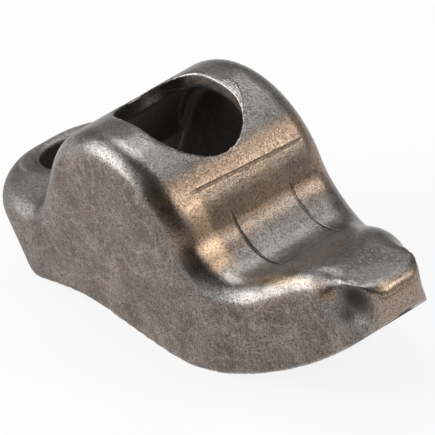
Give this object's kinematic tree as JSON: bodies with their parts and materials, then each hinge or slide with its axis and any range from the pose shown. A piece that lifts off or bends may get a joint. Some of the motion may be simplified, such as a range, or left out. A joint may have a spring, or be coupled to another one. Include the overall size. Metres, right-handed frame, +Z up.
{
  "type": "stamped rocker arm",
  "caption": "Pressed steel valve rocker arm with a half-round fulcrum seat, slotted for its stud, a cupped pushrod nose and a crowned valve pad",
  "frame": {"origin": "axis of the half-round fulcrum seat, on the middle plane of the arm", "axes": "X runs along the arm from the pushrod nose to the valve tip, Y across it between the two side walls, Z up out of the seat's dome"},
  "size_m": [0.0725, 0.0258, 0.0282],
  "materials": {
    "steel": "heat-treated pressed steel with a dull brown-grey skin"
  },
  "bodies": {
    "root": {"rocker_arm": "steel"}
  },
  "joints": []
}
